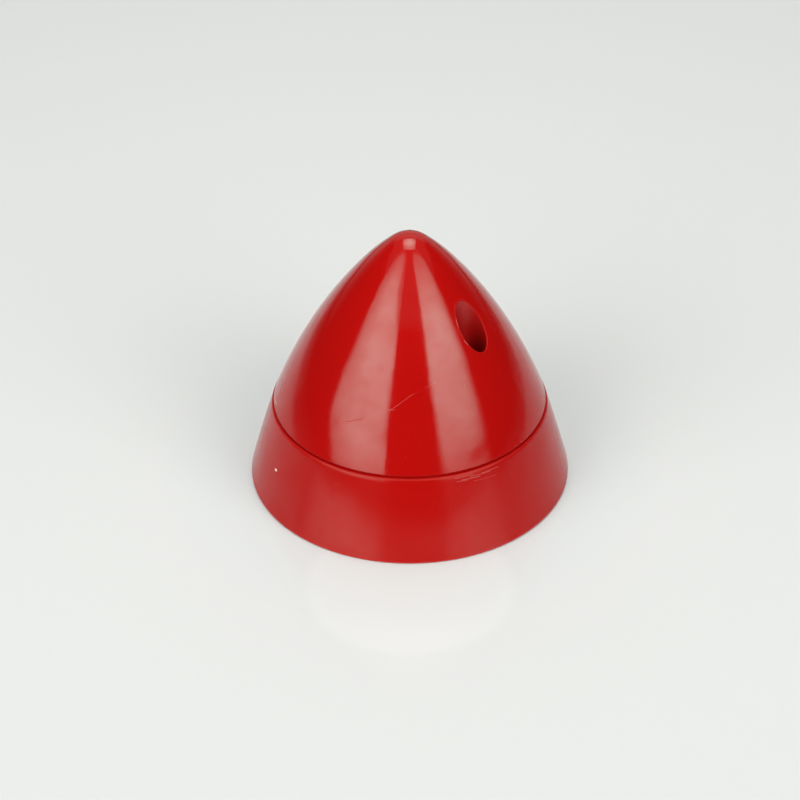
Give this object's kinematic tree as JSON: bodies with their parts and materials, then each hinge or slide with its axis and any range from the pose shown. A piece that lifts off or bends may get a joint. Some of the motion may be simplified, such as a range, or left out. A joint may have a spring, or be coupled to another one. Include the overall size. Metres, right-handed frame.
{
  "type": "propeller spinner",
  "caption": "Glossy red moulded spinner: a blunt ogive nose cone screwed to a tapered base with a shaft bore, to fair a model aircraft's propeller hub.",
  "frame": {"origin": "centre of the back face, on the shaft axis", "axes": "+Z forward along the shaft axis to the nose, X through the two cone screws"},
  "size_m": [0.0634, 0.0634, 0.0538],
  "materials": {
    "cone_plastic": "glossy moulded red, lightly scratched",
    "base_plastic": "semi-gloss moulded red, lightly scuffed",
    "bush_metal": "turned",
    "screw_steel": "dark oxide",
    "insert_brass": "turned"
  },
  "bodies": {
    "root": {"nose_cone": "cone_plastic", "spinner_base": "base_plastic", "hub_bush": "bush_metal", "cone_screw_1": "screw_steel", "cone_screw_2": "screw_steel", "boss_insert_1": "insert_brass", "boss_insert_2": "insert_brass"}
  },
  "joints": []
}
